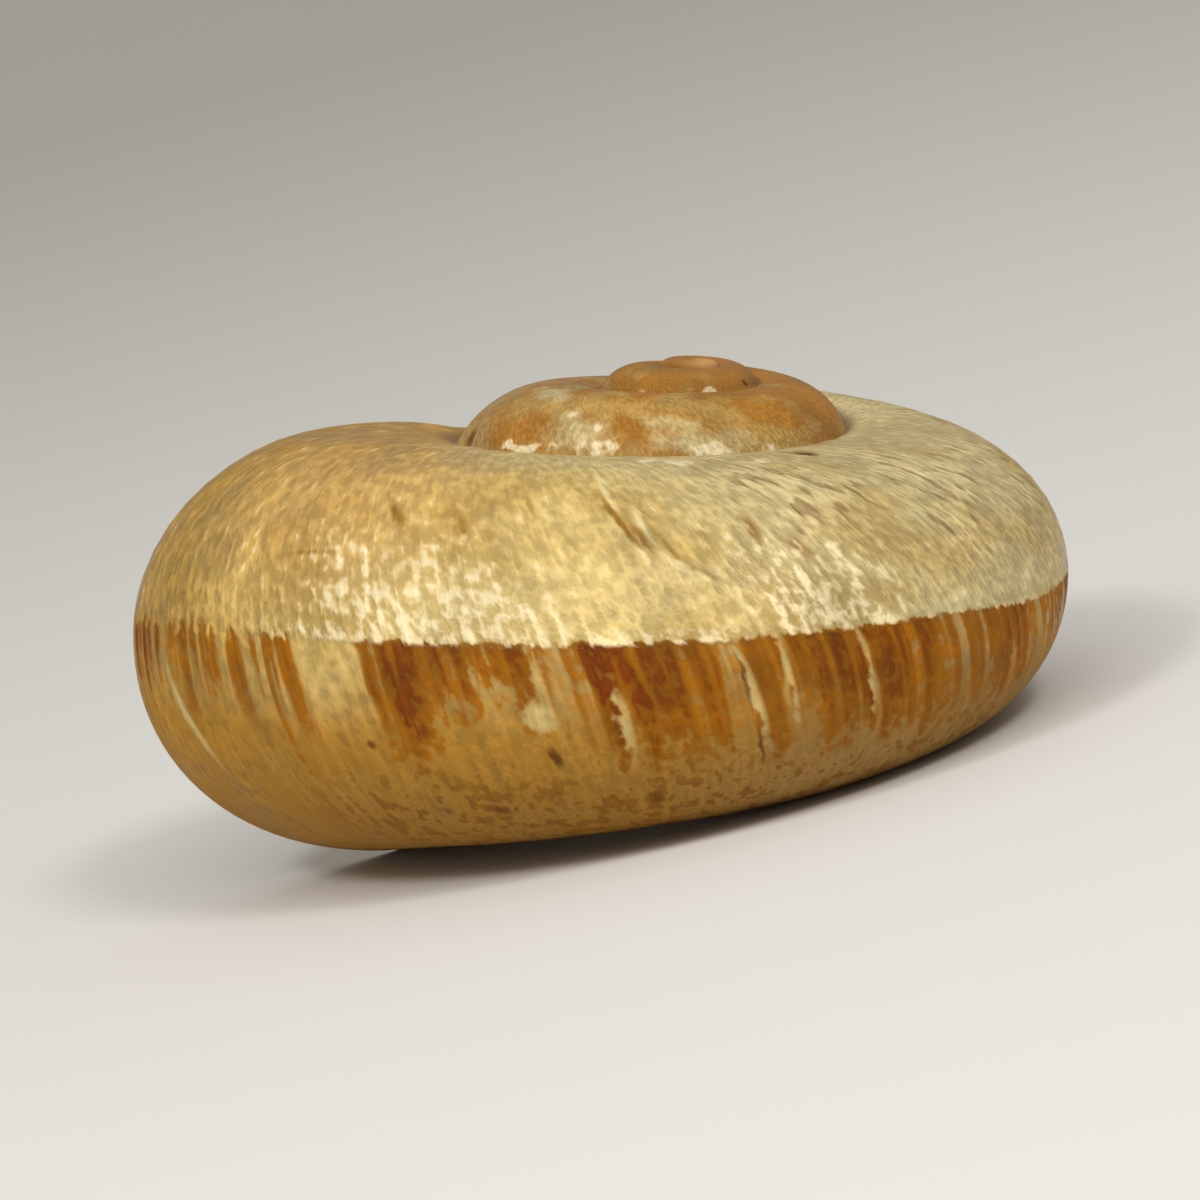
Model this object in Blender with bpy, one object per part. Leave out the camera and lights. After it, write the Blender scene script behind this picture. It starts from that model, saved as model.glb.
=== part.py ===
"""Shell of the land snail Neocyclotus prominulus, at rest on its base.

A right-handed coil of a little over four whorls, grown as one piece. Every whorl
has the same cross-section, larger by a fixed factor each turn, and is laid on the
whorl before it. The upper seat of that joint is the suture that shows round the
spire, and the lower seat runs inside the umbilicus, the open pit in the base.
The tube is hollow from the mouth inwards.

Metres, +Z up. The origin is on the surface that the shell rests on, under the
middle of its bounding box.
"""

import math

import bmesh
import bpy
from mathutils import Matrix, Vector

# Size and growth. Turn 0 is where the last whorl reaches furthest to the left, as
# seen from the front, and earlier turns are negative.
REACH = 0.01668  # from the coiling axis to the outer wall at turn 0
WIDENING = 2.233  # how many times larger a whorl is than the one before
DEEPENING = 2.35  # how many times further its centre lies below the apex
FIRST_TURN = -4.1
WHORLS = 4.2

# Cross-section of a whorl at turn 0, as shares of REACH, measured from the apex.
CENTRE_OUT = 0.568
CENTRE_DOWN = 0.545
OUTER_HALF = 1 - CENTRE_OUT
INNER_HALF = 0.37
TOP_HALF = 0.386
BASE_HALF = 0.385
TOP_FULLNESS = 1.93  # 2 is an ellipse, more is squarer
BASE_FULLNESS = 2.13

# The wall, as shares of REACH: its thickness, and that of the thin glaze that
# lines the mouth where the whorl before it forms the inner wall.
WALL = 0.048
GLAZE = 0.012
HOLLOW_TURNS = 1.5
LIP_ROUNDING = 0.006  # in turns

# Fineness of the model.
STEPS = 40  # rings in one whorl
TOP_POINTS = 7  # round the part of a whorl that shows above the next one
SEAT_POINTS = 10  # round the part that the next whorl covers
BASE_POINTS = 7  # round the part that shows in the umbilicus

# A growth line, and so the lip, leads at the suture and lags towards the base.
SEAT_STEPS = STEPS // 10  # rings between a line's two ends on the same seat
LINE_FULLNESS = 0.75

# The rest pose: the coiling axis leans, so that the base has three points down.
LEAN = math.radians(16.4)
LEAN_HEADING = math.radians(89.5)
FLAT_DEPTH = 0.00012  # worn off the base where it touches


def centre(turn):
    """Distance from the axis and height of the middle of a whorl's section."""
    return REACH * Vector((CENTRE_OUT * WIDENING**turn, -CENTRE_DOWN * DEEPENING**turn))


def section(angle, turn):
    """A point of a whorl's section. Angle 0 is the outermost point, 90 degrees
    the top and -90 degrees the base."""
    across, up = math.cos(angle), math.sin(angle)
    power = 2 / (TOP_FULLNESS if up >= 0 else BASE_FULLNESS)
    half_width = OUTER_HALF if across >= 0 else INNER_HALF
    half_height = TOP_HALF if up >= 0 else BASE_HALF
    out = half_width * math.copysign(abs(across) ** power, across)
    rise = half_height * math.copysign(abs(up) ** power, up)
    return centre(turn) + REACH * WIDENING**turn * Vector((out, rise))


def outside(point, turn, margin=0.0):
    """Above 0 where a point lies outside a section widened by the margin."""
    across, up = (point - centre(turn)) / (REACH * WIDENING**turn)
    fullness = TOP_FULLNESS if up >= 0 else BASE_FULLNESS
    half_width = (OUTER_HALF if across >= 0 else INNER_HALF) + margin
    half_height = (TOP_HALF if up >= 0 else BASE_HALF) + margin
    return abs(across / half_width) ** fullness + abs(up / half_height) ** fullness - 1


def crossing(value, low, high):
    """The angle between low and high, in degrees, at which value changes sign."""
    low, high = math.radians(low), math.radians(high)
    rising = value(high) > value(low)
    for _ in range(50):
        middle = (low + high) / 2
        if (value(middle) > 0) == rising:
            high = middle
        else:
            low = middle
    return (low + high) / 2


# Where a whorl's outline meets the one before it, as angles on each outline.
SUTURE = crossing(lambda a: outside(section(a, 0), -1), 90, 135)
UMBILICAL = crossing(lambda a: outside(section(a, 0), -1), -180, -225)
SUTURE_SEAT = crossing(lambda a: outside(section(a, -1), 0), 0, 90)
UMBILICAL_SEAT = crossing(lambda a: outside(section(a, -1), 0), -45, -180)


def spread(first, last, count):
    """Angles from first towards last, without last."""
    return [first + (last - first) * i / count for i in range(count)]


ANGLES = (
    spread(SUTURE, SUTURE_SEAT, TOP_POINTS)
    + spread(SUTURE_SEAT, UMBILICAL_SEAT, SEAT_POINTS)
    + spread(UMBILICAL_SEAT, UMBILICAL, BASE_POINTS)
    + [UMBILICAL]
)
UPPER = TOP_POINTS  # the point of a ring on which the next whorl's suture sits
LOWER = TOP_POINTS + SEAT_POINTS
END = len(ANGLES) - 1


def share_round(angle):
    return (SUTURE - angle) / (SUTURE - UMBILICAL)


def bow(angle):
    return math.sin(math.pi * share_round(angle)) ** LINE_FULLNESS


def line_terms():
    """The bow and slope that give a growth line the same lead on both seats."""
    lead = SEAT_STEPS / STEPS
    upper, lower = share_round(SUTURE_SEAT), share_round(UMBILICAL_SEAT) - 1
    spare = bow(SUTURE_SEAT) * lower - bow(UMBILICAL_SEAT) * upper
    slope = lead * (bow(SUTURE_SEAT) - bow(UMBILICAL_SEAT)) / spare
    return lead * (lower - upper) / spare, slope


LINE_BOW, LINE_SLOPE = line_terms()


def lag(angle):
    """How far a growth line lags behind its end at the suture, in whorls."""
    if not UMBILICAL < angle < SUTURE:
        return LINE_SLOPE if angle < 0 else 0
    return LINE_BOW * bow(angle) + LINE_SLOPE * share_round(angle)


def on_coil(point, turn):
    """A section's point carried round the axis to its turn. Seen from above the
    coil runs clockwise, so the shell is right-handed."""
    around = math.pi - 2 * math.pi * turn
    return Vector((point.x * math.cos(around), point.x * math.sin(around), point.y))


def grown_rings():
    """The outer surface, ring by ring, from the nucleus to the lip."""
    top_pole = Vector((0, 0, section(SUTURE, FIRST_TURN + 0.5).y))
    base_pole = Vector((0, 0, section(UMBILICAL, FIRST_TURN + 0.5).y))
    rings = []
    for i in range(round(WHORLS * STEPS) + 1):
        turn = FIRST_TURN + i / STEPS
        ring = [on_coil(section(a, turn - lag(a)), turn - lag(a)) for a in ANGLES]
        under = i - STEPS + SEAT_STEPS
        start = rings[under][UPPER] if under >= 0 else top_pole
        finish = rings[under][LOWER] if under >= 0 else base_pole
        start_shift, finish_shift = start - ring[0], finish - ring[END]
        for j in range(END + 1):
            ring[j] += start_shift * max(0, 1 - j / UPPER) ** 2
            ring[j] += finish_shift * max(0, (j - LOWER) / (END - LOWER)) ** 2
        if i < STEPS:
            swell = math.sin(math.pi / 2 * i / STEPS)
            for j in range(END + 1):
                down = min(1, max(0, (j - UPPER) / (LOWER - UPPER)))
                ring[j] = top_pole.lerp(base_pole, down).lerp(ring[j], swell)
        rings.append(ring)
    return rings


INSIDE = 1 - WALL / min(INNER_HALF, TOP_HALF, BASE_HALF)


def inner_section(angle, turn):
    """A point of the hollow's section where the whorl's own wall forms it."""
    return centre(turn).lerp(section(angle, turn), INSIDE)


def glaze_section(angle, turn):
    """A point of the hollow's section where it lies on the whorl before."""
    outward = section(angle, turn - 1) - centre(turn - 1)
    return centre(turn - 1) + outward * (1 + GLAZE * REACH * WIDENING**turn / outward.length)


def within_wall(angle):
    """Above 0 where a point of the glaze at turn 0 lies outside the hollow."""
    return outside(centre(0) + (glaze_section(angle, 0) - centre(0)) / INSIDE, 0)


def hollow_outline():
    """The hollow's closed section, from the suture round the outer wall and back
    over the whorl before it, as (growth-line lag, section, angle)."""
    first = crossing(lambda a: outside(inner_section(a, 0), -1, GLAZE), 90, 135)
    last = crossing(lambda a: outside(inner_section(a, 0), -1, GLAZE), -180, -225)
    seat_first = crossing(within_wall, 0, 90)
    seat_last = crossing(within_wall, -45, -180)
    outline = []
    for angle in ANGLES:
        outline.append((lag(angle), inner_section, first + (last - first) * share_round(angle)))
    for angle in reversed(ANGLES[UPPER + 1 : LOWER]):
        share = (SUTURE_SEAT - angle) / (SUTURE_SEAT - UMBILICAL_SEAT)
        seat_angle = seat_first + (seat_last - seat_first) * share
        outline.append((lag(angle) - SEAT_STEPS / STEPS, glaze_section, seat_angle))
    return outline


def hollow_ring(outline, turn):
    return [on_coil(form(angle, turn - late), turn - late) for late, form, angle in outline]


def extrude_row(bm, row, places, closed=False):
    """Extrudes a row of vertices and sets the new row at the given places."""
    ends = row[1:] + row[:1] if closed else row[1:]
    edges = [bm.edges.get((a, b)) for a, b in zip(row, ends)]
    made = bmesh.ops.extrude_edge_only(bm, edges=edges)["geom"]
    fresh = {v for v in made if isinstance(v, bmesh.types.BMVert)}
    grown = []
    for vertex, place in zip(row, places):
        near = (edge.other_vert(vertex) for edge in vertex.link_edges)
        twin = next(v for v in near if v in fresh)
        twin.co = place
        grown.append(twin)
    return grown


def grow_skin(bm, rings):
    """Extrudes the first ring from nucleus to lip, and seats each whorl on the
    last: the strip that it covers is removed and its ends are welded on."""
    row = [bm.verts.new(place) for place in rings[0]]
    for a, b in zip(row, row[1:]):
        bm.edges.new((a, b))
    rows = [row]
    for places in rings[1:]:
        rows.append(extrude_row(bm, rows[-1], places))
    last_covered = len(rows) - 1 - STEPS + SEAT_STEPS
    covered = []
    for i in range(last_covered):
        for j in range(UPPER, LOWER):
            covered.append(bm.faces.get((rows[i][j], rows[i][j + 1], rows[i + 1][j + 1], rows[i + 1][j])))
    bmesh.ops.delete(bm, geom=covered, context="FACES")
    top_pole, base_pole = rows[0][UPPER], rows[0][LOWER]
    welds = {rows[0][j]: top_pole for j in range(UPPER)}
    welds.update({rows[0][j]: base_pole for j in range(LOWER + 1, END + 1)})
    for i in range(1, len(rows)):
        under = i - STEPS + SEAT_STEPS
        welds[rows[i][0]] = rows[under][UPPER] if under >= 0 else top_pole
        welds[rows[i][END]] = rows[under][LOWER] if under >= 0 else base_pole
    mouth = [rows[last_covered][UPPER]] + rows[-1][1:END]
    mouth += [rows[last_covered][j] for j in range(LOWER, UPPER, -1)]
    bmesh.ops.weld_verts(bm, targetmap=welds)
    loose = [v for v in bm.verts if not v.link_faces]
    bmesh.ops.delete(bm, geom=loose, context="VERTS")
    return mouth


def hollow_out(bm, mouth):
    """Turns the lip in and extrudes the hollow back down the tube from it."""
    outline = hollow_outline()
    lip_turn = FIRST_TURN + WHORLS
    inner_lip = hollow_ring(outline, lip_turn)
    rounded = []
    for vertex, place in zip(mouth, hollow_ring(outline, lip_turn + LIP_ROUNDING)):
        rounded.append(vertex.co.lerp(place, 0.5))
    row = extrude_row(bm, mouth, rounded, closed=True)
    row = extrude_row(bm, row, inner_lip, closed=True)
    for i in range(1, round(HOLLOW_TURNS * STEPS) + 1):
        row = extrude_row(bm, row, hollow_ring(outline, lip_turn - i / STEPS), closed=True)
    middle = sum((v.co for v in row), Vector()) / len(row)
    row = extrude_row(bm, row, [middle] * len(row), closed=True)
    bmesh.ops.pointmerge(bm, verts=row, merge_co=middle)


def set_down(bm):
    """Leans the shell to its rest pose, stands it on z = 0 with its base worn
    flat where it touches, and centres it over the origin."""
    axis = Vector((math.cos(LEAN_HEADING), math.sin(LEAN_HEADING), 0))
    bmesh.ops.transform(bm, matrix=Matrix.Rotation(LEAN, 4, axis), verts=bm.verts)
    low = Vector([min(v.co[k] for v in bm.verts) for k in range(3)])
    high = Vector([max(v.co[k] for v in bm.verts) for k in range(3)])
    middle = (low + high) / 2
    shift = Vector((-middle.x, -middle.y, -low.z - FLAT_DEPTH))
    bmesh.ops.translate(bm, vec=shift, verts=bm.verts)
    whole = bm.verts[:] + bm.edges[:] + bm.faces[:]
    cut = bmesh.ops.bisect_plane(
        bm, geom=whole, dist=1e-7, plane_co=(0, 0, 0), plane_no=(0, 0, 1), clear_inner=True
    )
    rim = [e for e in cut["geom_cut"] if isinstance(e, bmesh.types.BMEdge)]
    bmesh.ops.holes_fill(bm, edges=rim, sides=0)


def shell_material():
    """Cream shell with a silky surface skin."""
    material = bpy.data.materials.new("shell")
    material.use_nodes = True
    finish = material.node_tree.nodes["Principled BSDF"]
    finish.inputs["Base Color"].default_value = (0.62, 0.44, 0.19, 1)
    finish.inputs["Roughness"].default_value = 0.45
    finish.inputs["Metallic"].default_value = 0
    return material


def make_shell(collection):
    bm = bmesh.new()
    mouth = grow_skin(bm, grown_rings())
    hollow_out(bm, mouth)
    set_down(bm)
    bmesh.ops.recalc_face_normals(bm, faces=bm.faces)
    bmesh.ops.triangulate(bm, faces=[f for f in bm.faces if len(f.verts) == 4])
    mesh = bpy.data.meshes.new("shell")
    bm.to_mesh(mesh)
    bm.free()
    mesh.shade_smooth()
    mesh.set_sharp_from_angle(angle=math.radians(40))
    mesh.materials.append(shell_material())
    shell = bpy.data.objects.new("shell", mesh)
    collection.objects.link(shell)
    return shell


def main():
    for obj in list(bpy.data.objects):
        bpy.data.objects.remove(obj)
    collection = bpy.data.collections.new("neocyclotus_prominulus_shell")
    bpy.context.scene.collection.children.link(collection)
    make_shell(collection)


main()
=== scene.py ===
# %% [markdown]
# A snail shell, grown and painted
#
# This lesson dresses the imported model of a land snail's shell, Neocyclotus prominulus.
# The shell is one piece that the snail makes by adding a thin strip of lime to the edge
# of its mouth, again and again, while it turns round an axis. So nearly everything about
# it follows two numbers: how many turns it had grown, and how far round the tube a point
# lies. The mesh is grown from these two numbers, and the colours are painted with them.
#
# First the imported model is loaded. The new surface is held against its size.

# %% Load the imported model
import math

import bmesh
import bpy
from mathutils import Matrix, Vector, noise


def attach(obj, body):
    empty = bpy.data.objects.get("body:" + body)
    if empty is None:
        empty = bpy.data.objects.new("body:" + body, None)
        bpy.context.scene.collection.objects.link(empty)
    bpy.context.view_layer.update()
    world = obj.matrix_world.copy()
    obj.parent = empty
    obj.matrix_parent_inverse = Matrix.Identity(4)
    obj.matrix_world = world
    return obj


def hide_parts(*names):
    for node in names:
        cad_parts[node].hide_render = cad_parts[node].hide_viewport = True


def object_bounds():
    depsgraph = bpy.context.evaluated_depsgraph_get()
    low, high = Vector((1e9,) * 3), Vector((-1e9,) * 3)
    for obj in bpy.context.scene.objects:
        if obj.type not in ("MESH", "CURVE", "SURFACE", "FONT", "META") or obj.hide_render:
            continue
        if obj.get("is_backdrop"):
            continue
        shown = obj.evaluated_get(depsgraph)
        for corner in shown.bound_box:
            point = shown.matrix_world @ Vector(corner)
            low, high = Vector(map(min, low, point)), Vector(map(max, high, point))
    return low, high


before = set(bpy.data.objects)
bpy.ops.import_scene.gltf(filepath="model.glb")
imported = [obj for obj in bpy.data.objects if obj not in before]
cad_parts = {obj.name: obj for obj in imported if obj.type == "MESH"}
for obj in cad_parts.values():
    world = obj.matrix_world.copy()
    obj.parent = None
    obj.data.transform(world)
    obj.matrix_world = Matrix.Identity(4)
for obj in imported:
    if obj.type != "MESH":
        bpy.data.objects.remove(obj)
cad_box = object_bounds()

# %% [markdown]
# The laws of growth
#
# Each whorl of this snail is 2.2 times as wide as the one before, and its middle lies
# 2.35 times as far below the tip, so the spire is low. These are the same values that
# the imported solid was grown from. The reach is the distance from the axis to the
# outermost point at turn 0, and the section's measures are parts of it. It is a hair
# smaller here, because the fine mesh bulges more than the solid but must fit its box.

# %% Growth values
PACKED_REACH = 0.01668  # metres
FIT = 0.9965
REACH = PACKED_REACH * FIT
WIDENING = 2.233
DEEPENING = 2.35
FIRST_TURN = -4.1
WHORLS = 4.2
LIP_TURN = FIRST_TURN + WHORLS

CENTRE_OUT = 0.568
CENTRE_DOWN = 0.545
OUTER_HALF = 1 - CENTRE_OUT
INNER_HALF = 0.37
TOP_HALF = 0.386
BASE_HALF = 0.385
TOP_FULLNESS = 1.93
BASE_FULLNESS = 2.13


def centre(turn):
    """Distance from the axis and height of the middle of a whorl's section."""
    return REACH * Vector((CENTRE_OUT * WIDENING**turn, -CENTRE_DOWN * DEEPENING**turn))


def section(angle, turn):
    """A point of a whorl's outline: angle 0 is its outermost point, 90 degrees its top."""
    across, up = math.cos(angle), math.sin(angle)
    power = 2 / (TOP_FULLNESS if up >= 0 else BASE_FULLNESS)
    half_width = OUTER_HALF if across >= 0 else INNER_HALF
    half_height = TOP_HALF if up >= 0 else BASE_HALF
    out = half_width * math.copysign(abs(across) ** power, across)
    rise = half_height * math.copysign(abs(up) ** power, up)
    return centre(turn) + REACH * WIDENING**turn * Vector((out, rise))


print("widest whorl, mm:", round(section(0, 0).x * 1000, 2), "from the axis")

# %% [markdown]
# Where one whorl sits on the last
#
# A whorl's outline isn't a whole ring: it starts on the whorl before it, at the suture,
# and ends on the same whorl's underside, inside the umbilicus. Both are places where
# two outlines cross, and they are searched for by halving an interval.

# %% Find the seats
INNER_TOP, INNER_BASE = (90, 135), (-180, -225)  # arcs of a section, in degrees
OUTER_TOP, OUTER_BASE = (0, 90), (-45, -180)
HALVINGS = 50


def outside(point, turn, margin=0.0):
    """Above 0 where a point lies outside a whorl's outline widened by the margin."""
    across, up = (point - centre(turn)) / (REACH * WIDENING**turn)
    fullness = TOP_FULLNESS if up >= 0 else BASE_FULLNESS
    half_width = (OUTER_HALF if across >= 0 else INNER_HALF) + margin
    half_height = (TOP_HALF if up >= 0 else BASE_HALF) + margin
    return abs(across / half_width) ** fullness + abs(up / half_height) ** fullness - 1


def crossing(value, low, high):
    """The angle between low and high, in degrees, at which value changes sign."""
    low, high = math.radians(low), math.radians(high)
    rising = value(high) > value(low)
    for _ in range(HALVINGS):
        middle = (low + high) / 2
        if (value(middle) > 0) == rising:
            high = middle
        else:
            low = middle
    return (low + high) / 2


SUTURE = crossing(lambda a: outside(section(a, 0), -1), *INNER_TOP)
UMBILICAL = crossing(lambda a: outside(section(a, 0), -1), *INNER_BASE)
SUTURE_SEAT = crossing(lambda a: outside(section(a, -1), 0), *OUTER_TOP)
UMBILICAL_SEAT = crossing(lambda a: outside(section(a, -1), 0), *OUTER_BASE)
seats = [round(math.degrees(a), 1) for a in (SUTURE, SUTURE_SEAT)]
print("suture at", seats[0], "degrees, on the last whorl's", seats[1])

# %% [markdown]
# Growth lines
#
# Every older position of the mouth's edge stays visible as a growth line. The lines
# don't stand in the plane of the axis: they start ahead at the suture, swing back over
# the outside of the whorl and come forward again below, and here they lean as in the
# photograph. The rings of the mesh follow the same lines, so a long groove or a colour
# streak runs along the rows of the mesh.
#
# A ring's points lie closest together at the suture, where the forms are finest, and
# the rings lie 0.22 mm apart on the last whorl.

# %% Rings that follow the growth lines
STEPS = 480  # rings in a turn
TOP_POINTS = 18  # points above the next whorl's seat
SEAT_POINTS = 30  # points along the seat
BASE_POINTS = 12  # points below it
CROWDING = 1.4
SEAT_STEPS = STEPS // 10
LINE_FULLNESS = 0.75
UPPER = TOP_POINTS
LOWER = TOP_POINTS + SEAT_POINTS


def spread(first, last, count, crowding=1.0):
    """Angles from first towards last, without last, and closer together near first."""
    return [first + (last - first) * (i / count) ** crowding for i in range(count)]


ANGLES = (
    spread(SUTURE, SUTURE_SEAT, TOP_POINTS, CROWDING)
    + spread(SUTURE_SEAT, UMBILICAL_SEAT, SEAT_POINTS)
    + spread(UMBILICAL_SEAT, UMBILICAL, BASE_POINTS)
    + [UMBILICAL]
)
END = len(ANGLES) - 1


def share_round(angle):
    """0 at the suture, 1 in the umbilicus."""
    return (SUTURE - angle) / (SUTURE - UMBILICAL)


def bow(angle):
    return math.sin(math.pi * share_round(angle)) ** LINE_FULLNESS


def line_terms():
    """The bow and slope that give a growth line the same lead on both seats."""
    lead = SEAT_STEPS / STEPS
    upper, lower = share_round(SUTURE_SEAT), share_round(UMBILICAL_SEAT) - 1
    spare = bow(SUTURE_SEAT) * lower - bow(UMBILICAL_SEAT) * upper
    slope = lead * (bow(SUTURE_SEAT) - bow(UMBILICAL_SEAT)) / spare
    return lead * (lower - upper) / spare, slope


LINE_BOW, LINE_SLOPE = line_terms()


def lag(angle):
    """How far a growth line lags behind its end at the suture, in whorls."""
    if not UMBILICAL < angle < SUTURE:
        return LINE_SLOPE if angle < 0 else 0
    return LINE_BOW * bow(angle) + LINE_SLOPE * share_round(angle)


def on_coil(point, turn):
    """Carries a section's point round the axis, clockwise from above: right-handed."""
    around = math.pi - 2 * math.pi * turn
    return Vector((point.x * math.cos(around), point.x * math.sin(around), point.y))


SHARES = [share_round(a) for a in ANGLES]
LAGS = [lag(a) for a in ANGLES]
print("rings:", round(WHORLS * STEPS) + 1, "points in a ring:", END + 1)

# %% [markdown]
# Relief
#
# The shell isn't smooth. It has low growth ridges all over, and some forms of its own:
# a healed scar that runs from the shoulder over the whole side, a raised old mouth edge
# at the left, grooves on the right shoulder, a ledge and a shallow hollow beside the
# suture, and pits. All of that is real height in the mesh. Each form is placed by the
# same two numbers, turn and share, and its width and height are in millimetres on the
# last whorl. Perlin noise, stretched along the growth lines, makes the ridges, because
# growth is regular but never even.

# %% Forms by turn and share
TURN_MM = 105  # length of one turn round the last whorl
SHARE_MM = 36  # length round its section

SCAR_TOP = [(-0.148, 0.104), (-0.145, 0.166), (-0.142, 0.229), (-0.147, 0.249), (-0.156, 0.253)]
SCAR_RIDGE = [(-0.154, 0.188), (-0.150, 0.229), (-0.154, 0.248), (-0.1695, 0.262)]
SCAR_CRACK = [(-0.161, 0.322), (-0.158, 0.361), (-0.161, 0.4055), (-0.164, 0.441), (-0.1635, 0.473)]
OLD_EDGE = [(0.055, 0.345), (0.052, 0.376), (0.046, 0.4095), (0.041, 0.458), (0.039, 0.50)]
SHORT_CRACK = [(-0.011, 0.251), (-0.0375, 0.241)]
PITS = [(-0.929, 0.281), (-0.2856, 0.069), (-2.2956, 0.255)]
FORMS = [  # path, half width, height
    (SCAR_TOP, 0.5, 0.15),
    (SCAR_RIDGE, 0.4, 0.18),
    (SCAR_CRACK, 0.3, -0.10),
    (OLD_EDGE, 0.5, 0.08),
    (SHORT_CRACK, 0.25, -0.04),
] + [([pit], 0.6, -0.25) for pit in PITS]
PATH_MARGIN = 0.02  # turns, and more than any half width

RIDGES = [(0.022, 26, 2.5, 1), (0.014, 75, 4, 2)]  # height, swings in a turn and round, seed
SHOULDER_GROOVES = (0.035, 110, 5, 3)
SUTURE_CRUMPLE = (0.04, 60, 20, 5)
LEDGE_SWING = (1, 45, 0, 6)
print("forms in relief:", len(FORMS))

# %% [markdown]
# The height at one place is the sum of the ridges and of every form that is near it.

# %% Height above the even outline
GROOVED_TURN, GROOVED_REACH, GROOVED_SHARE = -0.29, 0.13, 0.3
CRUMPLED_SHARE = 0.06
HOLLOW_SHARE, HOLLOW_DEPTH = 0.085, 0.12
LEDGE_SHARE, LEDGE_WIDTH, LEDGE_HEIGHT = 0.012, 0.011, 0.07
LAST_WHORL_FROM, LAST_WHORL_FADE = -1.2, 0.5
UMBILICAL_FADE = 12


def smooth(part):
    """0 up to 0, 1 from 1 on, and a soft slope between."""
    part = min(1, max(0, part))
    return part**2 * (3 - 2 * part)


def apart(place, start, finish):
    """Distance in millimetres from a place to the stretch between two others."""
    scale = Vector((TURN_MM, SHARE_MM))
    p, a, b = (Vector(v) * scale for v in (place, start, finish))
    along = b - a
    reach = max(0, min(1, (p - a).dot(along) / max(along.length_squared, 1e-9)))
    return (p - a - along * reach).length


def near(place, path, width):
    """1 on a path, falling to 0 at its width."""
    turns = [turn for turn, share in path]
    if not min(turns) - PATH_MARGIN < place[0] < max(turns) + PATH_MARGIN:
        return 0
    gap = min(apart(place, a, b) for a, b in zip(path, path[1:] or path))
    return smooth(1 - gap / width)


def swing(turn, share, height, along, across, seed):
    """Noise of this height, with so many swings in a turn and round the section."""
    return height * noise.noise(Vector((turn * along, share * across, seed)))


def relief(turn, share):
    """Height above the even outline, in millimetres on the last whorl."""
    rise = sum(swing(turn, share, *ridge) for ridge in RIDGES)
    rise += sum(height * near((turn, share), path, width) for path, width, height in FORMS)
    if share < GROOVED_SHARE:
        grooved = 1 - min(1, abs(turn - GROOVED_TURN) / GROOVED_REACH)
        rise += grooved * swing(turn, share, *SHOULDER_GROOVES)
    rise += max(0, 1 - share / CRUMPLED_SHARE) * swing(turn, share, *SUTURE_CRUMPLE)
    hollow = smooth(1 - abs(share - HOLLOW_SHARE) / HOLLOW_SHARE)
    rise -= HOLLOW_DEPTH * hollow * min(1, max(0, (turn - LAST_WHORL_FROM) / LAST_WHORL_FADE))
    ledge = max(0, 1 - abs(share - LEDGE_SHARE) / LEDGE_WIDTH)
    rise += LEDGE_HEIGHT * ledge * (1 + swing(turn, share, *LEDGE_SWING))
    return rise * min(1, UMBILICAL_FADE * (1 - share))


print("relief beside the scar, mm:", round(relief(-0.15, 0.21), 3))

# %% [markdown]
# Placing the rings
#
# Now the shell grows. Each ring is laid out on its growth line and pushed out by the
# relief, and its two ends are moved onto the ring that lies one whorl below. The moves
# fade out along the visible strip, so that the whorl above fits on every bump of the
# whorl below. The very first whorl swells out of a point.
#
# The first whorls are a little narrower than an even coil, and the tip lies in a
# shallow dish.

# %% Grow the rings
DRAWN_IN = 0.00047  # how much nearer to the axis the young whorls lie
YOUNG, GROWN = 0.005, 0.011  # distances from the axis between which this fades out
SPIRE_FOOT, SPIRE_FADE = 0.0045, 0.0015  # depth below the tip at which it ends
TIP_RADIUS = 0.0014
TIP_DEPTH = 0.00014


def grown_ring(turn):
    ring = []
    for angle, share, late in zip(ANGLES, SHARES, LAGS):
        flat = section(angle, turn - late)
        outward = (flat - centre(turn - late)).normalized()
        rise = relief(turn, share) * 0.001 * WIDENING**turn
        ring.append(on_coil(flat + outward * rise, turn - late))
    return ring


def grown_rings():
    top_pole = Vector((0, 0, section(SUTURE, FIRST_TURN + 0.5).y))
    base_pole = Vector((0, 0, section(UMBILICAL, FIRST_TURN + 0.5).y))
    upper_fade = [max(0, 1 - share / SHARES[UPPER]) ** 2 for share in SHARES]
    lower_fade = [max(0, (share - SHARES[LOWER]) / (1 - SHARES[LOWER])) ** 2 for share in SHARES]
    rings = []
    for i in range(round(WHORLS * STEPS) + 1):
        ring = grown_ring(FIRST_TURN + i / STEPS)
        under = i - STEPS + SEAT_STEPS
        start = rings[under][UPPER] if under >= 0 else top_pole
        finish = rings[under][LOWER] if under >= 0 else base_pole
        start_shift, finish_shift = start - ring[0], finish - ring[END]
        for j in range(END + 1):
            ring[j] += start_shift * upper_fade[j] + finish_shift * lower_fade[j]
        if i < STEPS:
            swell = math.sin(math.pi / 2 * i / STEPS)
            for j in range(END + 1):
                down = min(1, max(0, (j - UPPER) / (LOWER - UPPER)))
                ring[j] = top_pole.lerp(base_pole, down).lerp(ring[j], swell)
        rings.append(ring)
    return rings


def shape_spire(place):
    """Draws the young whorls in towards the axis, and presses the tip into a dish."""
    out = math.hypot(place.x, place.y)
    depth = min(1, max(0, (place.z + SPIRE_FOOT) / SPIRE_FADE))
    grown = smooth((out - YOUNG) / (GROWN - YOUNG))
    drawn = DRAWN_IN * (1 - math.exp(-out / TIP_RADIUS)) * (1 - grown) * depth
    shrink = 1 - drawn / max(out, 1e-9)
    drop = TIP_DEPTH * smooth(1 - out / TIP_RADIUS) * depth
    return Vector((place.x * shrink, place.y * shrink, place.z - drop))


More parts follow.
